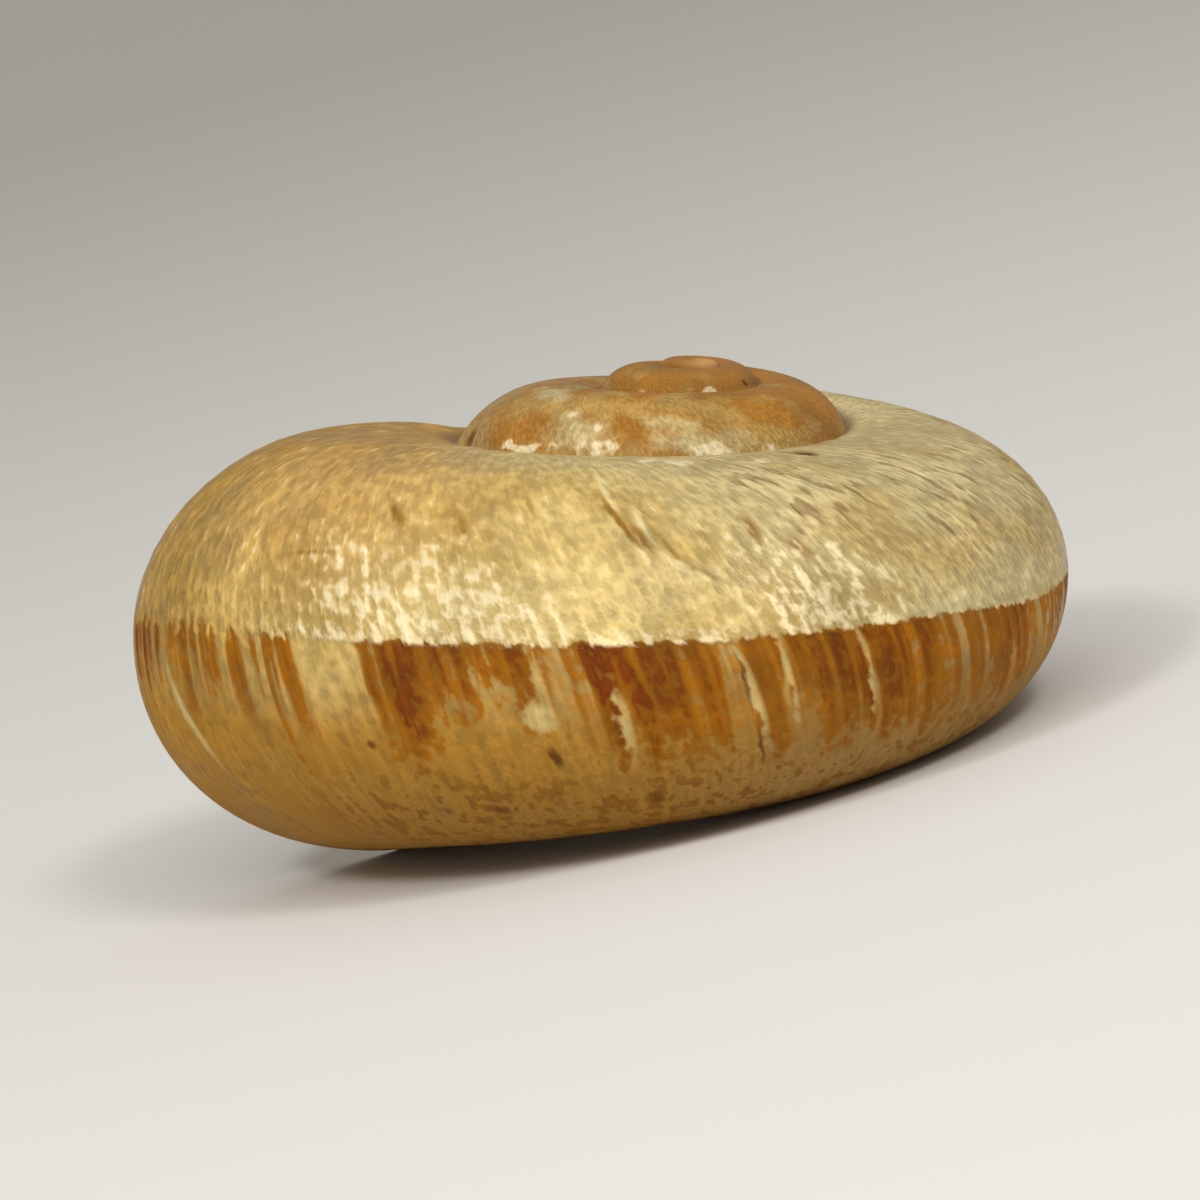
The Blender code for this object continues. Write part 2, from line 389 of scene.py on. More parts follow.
rings = [[shape_spire(place) for place in ring] for ring in grown_rings()]
print("grown:", len(rings), "rings, lip at", [round(v * 1000, 1) for v in rings[-1][UPPER]], "mm")

# %% [markdown]
# From sheet to coil
#
# The skin starts as one flat grid and is rolled up by setting each of its points on its
# ring. Before the whorls are joined, each corner of each face is told its turn and
# share in a UV map, because along the suture two whorls share their points, but not
# their turn.

# %% Roll a grid up into the skin
def write_growth(bm, faces, where):
    """Writes the turn and share of each point into the faces' UV map."""
    layer = bm.loops.layers.uv["growth"]
    for face in faces:
        for loop in face.loops:
            loop[layer].uv = where[loop.vert]


def roll_sheet(bm):
    count = len(rings)
    bmesh.ops.create_grid(bm, x_segments=END, y_segments=count - 1, size=0.5)
    bm.verts.ensure_lookup_table()
    rows = [bm.verts[i * (END + 1):(i + 1) * (END + 1)] for i in range(count)]
    where = {}
    for i, row in enumerate(rows):
        for j, vertex in enumerate(row):
            vertex.co = rings[i][j]
            where[vertex] = (FIRST_TURN + i / STEPS, SHARES[j])
    bm.loops.layers.uv.new("growth")
    write_growth(bm, bm.faces, where)
    return rows


bm = bmesh.new()
rows = roll_sheet(bm)
print("skin:", len(bm.faces), "faces in one sheet")

# %% [markdown]
# Closing the coil
#
# Most of a whorl's outside is covered by the next whorl, and a real shell has no
# second wall there. The covered strip is deleted, and then the free edges lie exactly
# on each other, so merging doubles joins them. The poles at the nucleus close too.

# %% Delete the covered strip and join the whorls
LAST_COVERED = len(rows) - 1 - STEPS + SEAT_STEPS
SAME_PLACE = 1e-8


def close_coil(bm, rows):
    """Joins the whorls, and returns the points round the mouth."""
    mouth = rows[-1][:END] + [rows[LAST_COVERED][j] for j in range(LOWER, UPPER, -1)]
    places = [v.co.copy() for v in mouth]
    covered = set()
    for i in range(LAST_COVERED):
        for j in range(UPPER, LOWER):
            corners = (rows[i][j], rows[i][j + 1], rows[i + 1][j + 1], rows[i + 1][j])
            covered.add(bm.faces.get(corners))
    bmesh.ops.delete(bm, geom=list(covered), context="FACES")
    bmesh.ops.remove_doubles(bm, verts=bm.verts, dist=SAME_PLACE)
    open_edges = [e for e in bm.edges if e.is_boundary]
    rim = {v for e in open_edges for v in e.verts}
    return [min(rim, key=lambda v: (v.co - place).length_squared) for place in places]


mouth = close_coil(bm, rows)
print("joined:", len(bm.faces), "faces,", len(mouth), "points round the mouth")

# %% [markdown]
# The wall and the hollow
#
# The snail lived in the tube. Its wall is 0.8 mm thick, and where the whorl before
# forms the tube's inner wall, the snail only laid a thin glaze over it. The hollow is
# grown like the outside, ring by ring from the lip inwards, until nothing can be seen
# any more. The photograph looks at the closed side, so the mouth follows from the
# growth of the whorl and what its relatives have.

# %% Outline of the hollow
WALL = 0.048  # in reaches
GLAZE = 0.012
HOLLOW_TURNS = 1.5
HOLLOW_STEPS = 60
INSIDE = 1 - WALL / min(INNER_HALF, TOP_HALF, BASE_HALF)
GLAZE_SHARE = 0.15  # the glaze has no band, so it takes the share of a plain place


def inner_section(angle, turn):
    return centre(turn).lerp(section(angle, turn), INSIDE)


def glaze_section(angle, turn):
    outward = section(angle, turn - 1) - centre(turn - 1)
    return centre(turn - 1) + outward * (1 + GLAZE * REACH * WIDENING**turn / outward.length)


def within_wall(angle):
    return outside(centre(0) + (glaze_section(angle, 0) - centre(0)) / INSIDE, 0)


def hollow_outline():
    """The hollow's closed outline as (growth-line lag, section, angle, share)."""
    first = crossing(lambda a: outside(inner_section(a, 0), -1, GLAZE), *INNER_TOP)
    last = crossing(lambda a: outside(inner_section(a, 0), -1, GLAZE), *INNER_BASE)
    seat_first = crossing(within_wall, *OUTER_TOP)
    seat_last = crossing(within_wall, *OUTER_BASE)
    seat_lead = SEAT_STEPS / STEPS
    outline = []
    for late, share in zip(LAGS[:END], SHARES):
        outline.append((late, inner_section, first + (last - first) * share, share))
    outline.append((LAGS[LOWER] - seat_lead, glaze_section, seat_last, GLAZE_SHARE))
    for angle in reversed(ANGLES[UPPER + 1:LOWER]):
        down = (SUTURE_SEAT - angle) / (SUTURE_SEAT - UMBILICAL_SEAT)
        seat_angle = seat_first + (seat_last - seat_first) * down
        outline.append((lag(angle) - seat_lead, glaze_section, seat_angle, GLAZE_SHARE))
    return outline


def hollow_ring(outline, turn):
    ring = []
    for late, form, angle, share in outline:
        ring.append(shape_spire(on_coil(form(angle, turn - late), turn - late)))
    return ring


outline = hollow_outline()
print("hollow:", len(outline), "points round,", round(WALL * REACH * 1000, 2), "mm of wall")

# %% [markdown]
# Turning the lip
#
# The edge of the mouth is rounded: a few rows curve from the outside over the front
# to the inside, each extruded from the one before it.

# %% Extrude the lip and the hollow
LIP_ROUNDING = 0.006  # how far the lip bulges forwards, in turns
LIP_ROWS = 5


def row_edges(bm, row):
    return [bm.edges.get(pair) for pair in zip(row, row[1:] + row[:1])]


def extrude_row(bm, row, places):
    """Extrudes a closed row of points and sets the new row at the given places."""
    made = bmesh.ops.extrude_edge_only(bm, edges=row_edges(bm, row))["geom"]
    fresh = {v for v in made if isinstance(v, bmesh.types.BMVert)}
    grown = []
    for vertex, place in zip(row, places):
        twin = next(e.other_vert(vertex) for e in vertex.link_edges if e.other_vert(vertex) in fresh)
        twin.co = place
        grown.append(twin)
    return grown


def inward_rows(mouth):
    """The rows from the lip to the end of the hollow, each with its turn."""
    outer = [v.co.copy() for v in mouth]
    inner = hollow_ring(outline, LIP_TURN)
    ahead = hollow_ring(outline, LIP_TURN + LIP_ROUNDING)
    inward = []
    for k in range(1, LIP_ROWS + 1):
        part = k / LIP_ROWS
        bulge = math.sin(math.pi * part) / 2
        places = [o.lerp(n, part) + (a - n) * bulge for o, n, a in zip(outer, inner, ahead)]
        inward.append((LIP_TURN, places))
    for k in range(1, round(HOLLOW_TURNS * HOLLOW_STEPS) + 1):
        turn = LIP_TURN - k / HOLLOW_STEPS
        inward.append((turn, hollow_ring(outline, turn)))
    return inward


def hollow_out(bm, mouth):
    shares = [share for late, form, angle, share in outline]
    skin = set(bm.faces)
    row = mouth
    where = {v: (LIP_TURN, share) for v, share in zip(row, shares)}
    for turn, places in inward_rows(mouth):
        row = extrude_row(bm, row, places)
        where.update({v: (turn, share) for v, share in zip(row, shares)})
    lining = [f for f in bm.faces if f not in skin]
    write_growth(bm, lining, where)
    for face in lining:
        face.material_index = 1
    bmesh.ops.contextual_create(bm, geom=row_edges(bm, row))


hollow_out(bm, mouth)
print("with its hollow:", len(bm.faces), "faces")

# %% [markdown]
# Setting it down
#
# A helix can't stand level on its lowest whorl. The shell leans until it rests on the
# base of the last whorl and on the lip of the mouth, and both are worn flat there.
# Pressing the lowest points up to the surface makes that wear, and the shell is centred
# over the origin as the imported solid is.

# %% Lean the shell and wear its base
LEAN = math.radians(16.4)
LEAN_HEADING = math.radians(89.5)
FLAT_DEPTH = 0.00012
LEANING = Matrix.Rotation(LEAN, 4, Vector((math.cos(LEAN_HEADING), math.sin(LEAN_HEADING), 0)))


def set_down(bm):
    bmesh.ops.transform(bm, matrix=LEANING, verts=bm.verts)
    low = Vector([min(v.co[k] for v in bm.verts) for k in range(3)])
    high = Vector([max(v.co[k] for v in bm.verts) for k in range(3)])
    middle = (low + high) / 2
    shift = Vector((-middle.x, -middle.y, -low.z - FLAT_DEPTH))
    bmesh.ops.translate(bm, vec=shift, verts=bm.verts)
    for vertex in bm.verts:
        vertex.co.z = max(0, vertex.co.z)
    return shift


SHIFT = set_down(bm)
bmesh.ops.recalc_face_normals(bm, faces=bm.faces)
print("set down by", [round(v * 1000, 2) for v in SHIFT], "mm")

# %% [markdown]
# The piece
#
# The mesh becomes one object at the origin. It rides on the only body and replaces the
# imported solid, which stays in the physics model.

# %% Make the shell's surface
mesh = bpy.data.meshes.new("shell_surface")
bm.to_mesh(mesh)
bm.free()
mesh.shade_smooth()
shell = bpy.data.objects.new("shell_surface", mesh)
bpy.context.scene.collection.objects.link(shell)
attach(shell, "root")
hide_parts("shell")
triangles = sum(len(p.vertices) - 2 for p in mesh.polygons)
print("shell surface:", triangles, "triangles")

# %% [markdown]
# Painting with nodes
#
# A material is a small program of nodes. These helpers keep it readable: each takes
# numbers or the outputs of other nodes, adds one or a few nodes and gives back an output.

# %% Helpers for node recipes
def colour(red, green, blue):
    """A colour given from 0 to 255, in the linear values that Blender mixes."""
    parts = [v / 255 for v in (red, green, blue)]
    return [v / 12.92 if v <= 0.04045 else ((v + 0.055) / 1.055) ** 2.4 for v in parts] + [1]


class Recipe:
    def __init__(self, name):
        self.material = bpy.data.materials.new(name)
        self.material.use_nodes = True
        self.tree = self.material.node_tree

    def put(self, socket, value):
        if isinstance(value, bpy.types.NodeSocket):
            self.tree.links.new(value, socket)
        else:
            socket.default_value = value

    def finish(self, name, value):
        """Sets one input of the shader itself."""
        self.put(self.tree.nodes["Principled BSDF"].inputs[name], value)

    def node(self, kind, values=(), out=0, **settings):
        made = self.tree.nodes.new(kind)
        for name, setting in settings.items():
            setattr(made, name, setting)
        for key, value in dict(values).items():
            self.put(made.inputs[key], value)
        return made.outputs[out]

    def calc(self, operation, a, b=0.0, c=0.0, clamp=False):
        return self.node("ShaderNodeMath", {0: a, 1: b, 2: c}, operation=operation, use_clamp=clamp)

    def times(self, first, *others):
        for other in others:
            first = self.calc("MULTIPLY", first, other)
        return first

    def plus(self, first, *others):
        for other in others:
            first = self.calc("ADD", first, other)
        return first

    def minus(self, a, b):
        return self.calc("SUBTRACT", a, b)

    def scaled(self, value, factor, shift):
        return self.calc("MULTIPLY_ADD", value, factor, shift)

    def mixture(self, first, *others):
        """The sum of values, each given with its weight."""
        total = self.times(*first)
        for value, weight in others:
            total = self.scaled(value, weight, total)
        return total

    def ease(self, value, start, finish, low=0.0, high=1.0):
        """Low before start, high after finish, and a smooth slope between."""
        values = {"Value": value, "From Min": start, "From Max": finish, "To Min": low, "To Max": high}
        return self.node("ShaderNodeMapRange", values, interpolation_type="SMOOTHSTEP")

    def blend(self, factor, a, b, kind="MIX"):
        values = {0: factor, 6: a, 7: b}
        return self.node("ShaderNodeMix", values, out=2, data_type="RGBA", blend_type=kind)

    def coats(self, base, *layers):
        """Lays colours over a base in turn, each as thick as its amount."""
        for amount, paint in layers:
            base = self.blend(amount, base, paint)
        return base

    def stretch(self, vector, size):
        return self.node("ShaderNodeVectorMath", {0: vector, 1: size}, operation="MULTIPLY")

    def noise(self, vector, size, detail=1.0, kind="2D"):
        """Noise with so many swings to a unit in each direction, mostly from 0.3 to 0.7."""
        values = {"Vector": self.stretch(vector, size), "Scale": 1.0, "Detail": detail}
        return self.node("ShaderNodeTexNoise", values, noise_dimensions=kind)


print("middle grey, linear:", colour(128, 128, 128))

# %% [markdown]
# Reading the growth map
#
# Every recipe on the shell starts from the map of turn and share that was written into
# the mesh. Four kinds of unevenness are laid over it. Threads are fine growth lines,
# about 0.3 mm apart: strong on the side of the last whorl, and faint on the spire, near
# the suture and on the base. Wrinkles are short, half a millimetre or so. Blotches and
# crumbs don't follow the growth, and are about 2 mm and 0.7 mm wide.

# %% Read the map and lay the grain
THREADS = (310, 6, 1)  # swings in a turn and round the section
WRINKLES = (250, 70, 1)
BLOTCHES = (500, 500, 500)  # swings in a metre
CRUMBS = (1400, 1400, 1400)


def read_growth(r):
    r.growth = r.node("ShaderNodeUVMap", uv_map="growth")
    r.turn, r.share = r.node("ShaderNodeSeparateXYZ", {0: r.growth}).node.outputs[:2]


def lay_grain(r):
    r.last_whorl = r.ease(r.turn, -0.9, -0.6)
    shown = r.times(
        r.ease(r.last_whorl, 0.0, 1.0, 0.12, 1.0),
        r.ease(r.share, 0.10, 0.26, 0.3, 1.0),
        r.ease(r.share, 0.46, 0.54, 1.0, 0.5),
    )
    r.threads = r.scaled(r.minus(r.noise(r.growth, THREADS, 2), 0.5), shown, 0.5)
    r.wrinkles = r.noise(r.growth, WRINKLES, 2)
    object_place = r.node("ShaderNodeTexCoord", out=3)
    r.blotches = r.noise(object_place, BLOTCHES, 2, "3D")
    r.crumbs = r.noise(object_place, CRUMBS, 2, "3D")


print("threads, mm apart:", round(TURN_MM / THREADS[0], 2))

# %% [markdown]
# The ground
#
# The colours are laid in a painter's order, the ground first: straw yellow near the lip,
# cream in the middle, greyish on the older right side and ochre under the band. The
# spire is rusty with orange patches, and the tip is pinkish.

# %% Colour of the ground
STRAW = colour(186, 146, 62)
CREAM = colour(224, 196, 124)
GREY_CREAM = colour(210, 192, 138)
GREY_TAN = colour(172, 138, 84)
OCHRE = colour(184, 134, 44)
DEEP_OCHRE = colour(168, 122, 40)
RUST = colour(188, 150, 80)
ORANGE = colour(174, 120, 44)
YOUNG_BROWN = colour(178, 122, 52)
APEX_PINK = colour(228, 174, 104)
# painted shade, laid just below the suture
SUTURE_SHADE = colour(128, 100, 56)


def spire_colour(r):
    patchy = r.plus(
        r.mixture((r.noise(r.growth, (16, 9, 1), 2), 0.7), (r.blotches, 0.3)),
        r.ease(r.share, 0.22, 0.27, 0.0, -0.08),
        r.ease(r.turn, -1.20, -1.30, 0.0, 0.12),
    )
    return r.coats(
        RUST,
        (r.ease(patchy, 0.38, 0.58), ORANGE),
        (r.ease(r.turn, -1.9, -2.5), YOUNG_BROWN),
        (r.ease(r.turn, -3.0, -3.3), APEX_PINK),
    )


def ground(r):
    """The colour without streaks and marks."""
    yellower = r.ease(r.noise(r.growth, (14, 9, 1), 2), 0.38, 0.66, 0.0, 0.45)
    # painted shade: the top of the whorl near the lip is darkened with ochre
    shade_near_lip = r.times(r.ease(r.share, 0.20, 0.08, 0.0, 0.75), r.ease(r.turn, -0.14, 0.0))
    greyer = r.times(r.ease(r.turn, -0.11, -0.19, 0.0, 0.55), r.ease(r.share, 0.36, 0.44))
    return r.coats(
        CREAM,
        (r.ease(r.turn, -0.03, 0.06), STRAW),
        (r.ease(r.turn, -0.12, -0.24), GREY_CREAM),
        (yellower, STRAW),
        (r.ease(r.share, 0.16, 0.06, 0.0, 0.6), GREY_CREAM),
        (shade_near_lip, OCHRE),
        (r.ease(r.share, 0.335, 0.42, 0.0, 0.95), OCHRE),
        (r.ease(r.share, 0.44, 0.56, 0.0, 0.9), DEEP_OCHRE),
        (greyer, GREY_TAN),
        (r.ease(r.turn, -0.5, -0.88), spire_colour(r)),
        # painted shade on the last whorl just below the suture
        (r.ease(r.share, 0.022, 0.0, 0.0, 0.8), SUTURE_SHADE),
    )


print("cream, linear:", CREAM)

# %% [markdown]
# The streaks of the band
#
# A brown band runs round the widest part of the last whorl. It isn't a painted stripe:
# it is made of streaks along the growth lines, some dark and long, some faint, with
# gaps where the snail laid down no colour for a while. Two ramps over the turn hold
# what the photograph shows of it, from the lip's side to the right. A ramp carries
# three values, so its red is how dark a streak is, its green how far down it reaches,
# and its blue how red it is.

# %% Streaks, by turn: darkness, reach down the side, redness
LEFT_STREAKS = [
    (0.1, 0.4, 0.37, 0.2),
    (0.09, 1.0, 0.385, 0.5),
    (0.064, 0.9, 0.38, 0.4),
    (0.0585, 0.1, 0.37, 0.0),
    (0.055, 0.56, 0.385, 0.2),
    (0.037, 0.42, 0.4, 0.1),
    (0.0285, 0.64, 0.405, 0.3),
    (0.024, 0.38, 0.41, 0.1),
    (0.012, 0.46, 0.425, 0.2),
    (0.004, 0.36, 0.43, 0.1),
    (-0.005, 0.48, 0.44, 0.2),
    (-0.0125, 0.45, 0.435, 0.1),
    (-0.0165, 0.02, 0.41, 0.0),
    (-0.0365, 0.02, 0.42, 0.0),
    (-0.0395, 0.65, 0.43, 0.2),
    (-0.0445, 0.4, 0.43, 0.1),
    (-0.0485, 0.95, 0.43, 0.6),
    (-0.0535, 0.9, 0.425, 0.5),
    (-0.057, 0.7, 0.42, 0.3),
    (-0.0645, 0.82, 0.4, 0.4),
    (-0.0755, 0.72, 0.382, 0.4),
    (-0.0965, 0.82, 0.378, 0.4),
]
RIGHT_STREAKS = [
    (-0.0985, 0.35, 0.42, 0.1),
    (-0.1105, 0.42, 0.43, 0.1),
    (-0.1125, 0.92, 0.435, 0.9),
    (-0.1265, 0.98, 0.45, 1.0),
    (-0.1285, 0.5, 0.44, 0.5),
    (-0.131, 0.72, 0.44, 0.6),
    (-0.1515, 0.66, 0.445, 0.4),
    (-0.1535, 0.3, 0.42, 0.1),
    (-0.1625, 0.25, 0.43, 0.1),
    (-0.1645, 0.58, 0.435, 0.2),
    (-0.1745, 0.58, 0.435, 0.2),
    (-0.1762, 0.12, 0.42, 0.0),
    (-0.1785, 0.68, 0.45, 0.3),
    (-0.204, 0.72, 0.458, 0.35),
    (-0.2063, 0.18, 0.45, 0.1),
    (-0.2085, 0.78, 0.445, 0.4),
    (-0.234, 0.65, 0.44, 0.2),
    (-0.238, 0.42, 0.45, 0.1),
    (-0.27, 0.52, 0.45, 0.1),
    (-0.276, 0.68, 0.44, 0.3),
    (-0.29, 0.62, 0.43, 0.3),
    (-0.3, 0.38, 0.4, 0.2),
    (-0.334, 0.58, 0.39, 0.3),
]


def streak_ramp(r, turn, streaks):
    """A ramp with one stop for each streak edge, from the lip's side backwards."""
    first, last = streaks[0][0], streaks[-1][0]
    along = r.node("ShaderNodeMapRange", {"Value": turn, "From Min": first, "From Max": last})
    ramp = r.node("ShaderNodeValToRGB", {0: along})
    stops = ramp.node.color_ramp.elements
    stops[0].color = (*streaks[0][1:], 1)
    stops[1].color = (*streaks[-1][1:], 1)
    for turn_there, dark, reach, red in streaks[1:-1]:
        stop = stops.new((turn_there - first) / (last - first))
        stop.color = (dark, reach, red, 1)
    return ramp


print("streak edges:", len(LEFT_STREAKS) + len(RIGHT_STREAKS))

# %% [markdown]
# Laying the streaks
#
# The growth lines waver a little, so the turn is shaken before the ramps read it.
# Round the back, which the photograph doesn't show, noise makes up the streaks.

# %% What kind of streak is here
RAMPS_MEET = -0.0975
SEEN_UP_TO = -0.334


def streak_kind(r):
    """How dark a streak is, how far down the side it reaches, and how red it is."""
    shaky = r.plus(r.turn, r.scaled(r.noise(r.growth, (50, 14, 1)), 0.008, -0.004))
    left = streak_ramp(r, shaky, LEFT_STREAKS)
    right = streak_ramp(r, shaky, RIGHT_STREAKS)
    seen = r.blend(r.calc("LESS_THAN", shaky, RAMPS_MEET), left, right)
    dark = r.ease(r.noise(r.growth, (48, 1.2, 1), 2), 0.40, 0.56, 0.3, 0.9)
    reach = r.ease(r.noise(r.growth, (22, 0, 1)), 0.3, 0.7, 0.38, 0.46)
    unseen = r.node("ShaderNodeCombineColor", {0: dark, 1: reach, 2: r.times(dark, 0.4)})
    kind = r.blend(r.ease(r.turn, SEEN_UP_TO, SEEN_UP_TO - 0.011), seen, unseen)
    return r.node("ShaderNodeSeparateColor", {0: kind}).node.outputs[:3]


print("streaks end from share", min(s[2] for s in LEFT_STREAKS), "to", max(s[2] for s in RIGHT_STREAKS))

# %% [markdown]
# The band's edges
#
# The band's upper edge is quite sharp, but soft and ragged towards the lip, and it lies
# a little lower at both far ends. Below, its streaks end at different heights and fade.
# Finer stripes break them up, most of all near the lip.

# %% Paint the band
BAND_TOP = 0.322
AMBER = colour(158, 98, 6)
CHESTNUT = colour(114, 58, 0)
RED_BROWN = colour(116, 48, 0)


def upper_edge(r):
    """The share at which the band starts here."""
    left, right = r.ease(r.turn, 0.03, 0.09, 0.0, 0.012), r.ease(r.turn, -0.24, -0.31, 0.0, 0.014)
    raggedness = r.ease(r.turn, -0.03, 0.01, 0.010, 0.045)
    jag = r.scaled(r.minus(r.wrinkles, 0.5), raggedness, BAND_TOP - 0.006)
    return r.plus(left, right, r.scaled(r.threads, 0.008, jag))


def band(r):
    """How brown the band is here, and how red."""
    dark, reach, red = streak_kind(r)
    lengths = r.scaled(r.noise(r.growth, (110, 6, 1)), 0.10, -0.11)
    ragged = r.scaled(r.wrinkles, 0.08, r.scaled(r.threads, 0.04, lengths))
    spare = r.minus(r.plus(reach, ragged), r.share)
    ends = r.ease(spare, -0.03, 0.04)
    soft_from = r.ease(r.turn, -0.02, 0.01, 0.0, -0.004)
    soft_to = r.ease(r.turn, -0.02, 0.01, 0.006, 0.018)
    starts = r.ease(r.minus(r.share, upper_edge(r)), soft_from, soft_to)
    stripes = r.mixture((r.noise(r.growth, (170, 3, 1)), 0.75), (r.threads, 0.25))
    between_stripes = r.ease(r.turn, -0.03, 0.0, 0.6, 0.25)
    tone = r.times(
        dark,
        r.ease(stripes, 0.34, 0.58, between_stripes, 1.28),
        r.ease(r.wrinkles, 0.32, 0.6, 0.75, 1.1),
        r.ease(spare, 0.0, 0.09, 0.55, 1.0),
    )
    return r.calc("MULTIPLY", tone, r.times(ends, starts), clamp=True), red


def paint_band(r, base, brown, red):
    deep = r.ease(brown, 0.45, 1.05, 0.0, 0.95)
    return r.coats(
        base,
        (r.ease(brown, 0.0, 0.48), AMBER),
        (deep, r.blend(red, CHESTNUT, RED_BROWN)),
    )


print("band starts at share", BAND_TOP)

# %% [markdown]
# Small marks
#
# Brown flecks, dark spots, pale healed places, scars and bits of chalk in the suture are
# each one or a few oval patches along a path, with a half width in millimetres and a
# strength. Some of them are painted light and shade: the dark paint in the pits and in the
# scar's crack is painted shade, the brown lines beside the scar ridges are partly painted
# shadow, and the pale stripe on the raised old edge is a painted highlight. A large warm
# patch near the lip and greyer clouds, most of them on the spire, are laid before the band
# in the same way.

# %% Marks of colour
FLECKS_AND_SCAR_SHADOWS = [
    ([(-0.0555, 0.187), (-0.0625, 0.214)], 0.45, 0.75),
    ([(-0.085, 0.196), (-0.0855, 0.222)], 0.4, 0.6),
    # brown lines beside the scar ridges: partly brown marks, partly painted shadow of the ridges
    ([(-0.143, 0.165), (-0.148, 0.235)], 0.3, 1.0),
    ([(-0.1485, 0.2), (-0.1515, 0.236)], 0.35, 0.7),
    ([(-0.1555, 0.205), (-0.16, 0.25), (-0.171, 0.268)], 0.3, 0.45),
    ([(-0.1955, 0.19), (-0.192, 0.226)], 0.4, 0.6),
    ([(-0.205, 0.226), (-0.2075, 0.242)], 0.55, 0.5),
    ([(-0.113, 0.16), (-0.114, 0.195)], 0.28, 0.5),
    ([(-0.052, 0.445), (-0.053, 0.47)], 0.4, 0.6),
    ([(-0.088, 0.48), (-0.09, 0.5)], 0.5, 0.6),
    (SHORT_CRACK, 0.18, 0.5),
]
SPOTS_AND_RECESS_SHADE = [
    ([(-0.032, 0.419)], 0.28, 0.7),
    ([(-0.064, 0.498), (-0.069, 0.506)], 0.4, 0.6),
    ([(-0.045, 0.5), (-0.047, 0.503)], 0.3, 0.5),
    # painted shade in the three pits
    ([(-0.929, 0.281)], 1.0, 1.0),
    ([(-0.2856, 0.069)], 0.9, 1.0),
    ([(-2.2956, 0.255)], 1.2, 1.0),
    ([(-0.0925, 0.425), (-0.0935, 0.44)], 0.3, 1.0),
    ([(-0.123, 0.494), (-0.1245, 0.503)], 0.4, 0.8),
    # painted shade in the scar's crack
    ([SCAR_CRACK[0], SCAR_CRACK[2], SCAR_CRACK[4]], 0.15, 0.6),
]
PALE_AND_RIDGE_HIGHLIGHT = [
    ([(-0.0925, 0.39)], 0.8, 1.0),
    ([(-0.119, 0.366), (-0.1185, 0.436)], 0.34, 0.6),
    ([(-0.161, 0.325), (-0.165, 0.44)], 0.34, 0.6),
    # painted highlight: a pale stripe along the raised old mouth edge
    ([(0.056, 0.37), (0.045, 0.45)], 0.45, 0.9),
    ([(-0.1765, 0.322), (-0.1765, 0.42)], 0.22, 0.5),
    ([(-0.2065, 0.322), (-0.2065, 0.43)], 0.22, 0.4),
]
SCARS = [
    ([(-0.15, 0.104), (-0.1455, 0.2), (-0.1475, 0.248)], 0.32, 0.8),
    ([(-0.154, 0.185), (-0.151, 0.232), (-0.161, 0.258), (-0.171, 0.266)], 0.34, 1.0),
    ([(-0.171, 0.266), (-0.173, 0.31)], 0.3, 0.6),
]
CHALK = [
    ([(-0.985, 0.283), (-1.01, 0.284)], 0.6, 1.0),
    ([(-1.05, 0.284), (-1.085, 0.284)], 0.8, 1.0),
    ([(-1.073, 0.256), (-1.096, 0.262)], 1.0, 1.0),
    ([(-1.05, 0.215), (-1.056, 0.2)], 0.6, 0.6),
    ([(-1.08, 0.232)], 0.8, 0.7),
    ([(-1.164, 0.272), (-1.185, 0.264)], 0.8, 1.0),
    ([(-1.205, 0.278), (-1.225, 0.28)], 0.7, 1.0),
    ([(-1.25, 0.268), (-1.28, 0.272)], 0.7, 0.7),
    ([(-2.025, 0.274), (-2.06, 0.276)], 1.2, 1.0),
    ([(-2.17, 0.278), (-2.2, 0.281)], 0.9, 0.8),
    ([(-0.19, 0.08), (-0.23, 0.084)], 0.5, 0.6),
]
WARM = [
    ([(-0.07, 0.175), (0.02, 0.195)], 5.0, 0.9),
]
CLOUDS = [
    ([(-1.04, 0.23), (-1.08, 0.245)], 2.6, 0.75),
    ([(-1.12, 0.262), (-1.21, 0.262)], 1.8, 0.75),
    ([(-1.12, 0.215), (-1.18, 0.225)], 1.6, 0.45),
    ([(-0.97, 0.12), (-1.03, 0.14)], 1.6, 0.7),
    ([(-0.21, 0.29), (-0.23, 0.27)], 1.5, 0.4),
]
print("brown marks:", len(FLECKS_AND_SCAR_SHADOWS) + len(SPOTS_AND_RECESS_SHADE), "pale marks:", len(PALE_AND_RIDGE_HIGHLIGHT) + len(SCARS))
print("bits of chalk:", len(CHALK), "clouds:", len(CLOUDS))

# %% [markdown]
# Drawing a patch
#
# A Mapping node moves, turns and stretches the map so that a patch becomes a round hill
# of radius one, and the length of the moved place says how far from its middle a point
# lies. A third coordinate keeps a weak patch away from zero. The nearest patch counts,
# and noise added to the distance frays the edge.

# %% Oval patches
OVERLAP = 0.6  # half the length of a patch, in lengths of its stretch


def patch(r, where, start, finish, width, strength):
    """0 in the middle of a long oval patch, 1 at its edge."""
    a, b = (Vector((turn * TURN_MM, share * SHARE_MM, 0)) for turn, share in (start, finish))
    middle, along = (a + b) / 2, b - a
    middle.z = 1 - strength
    values = {
        "Vector": where,
        "Location": middle,
        "Rotation": (0, 0, math.atan2(along.y, along.x)),
        "Scale": (along.length * OVERLAP + width, width, 1),
    }
    moved = r.node("ShaderNodeMapping", values, vector_type="TEXTURE")
    return r.node("ShaderNodeVectorMath", {0: moved}, out=1, operation="LENGTH")


def patches(r, where, marks, frayed=0.0):
    """1 in the middle of each mark, falling to 0 at its frayed edge."""
    nearest = None
    for path, width, strength in marks:
        for start, finish in zip(path, path[1:] or path):
            one = patch(r, where, start, finish, width, strength)
            nearest = one if nearest is None else r.calc("MINIMUM", nearest, one)
    return r.ease(r.plus(nearest, frayed), 1.0, 0.25)


print("a patch reaches", OVERLAP, "of its stretch each way")

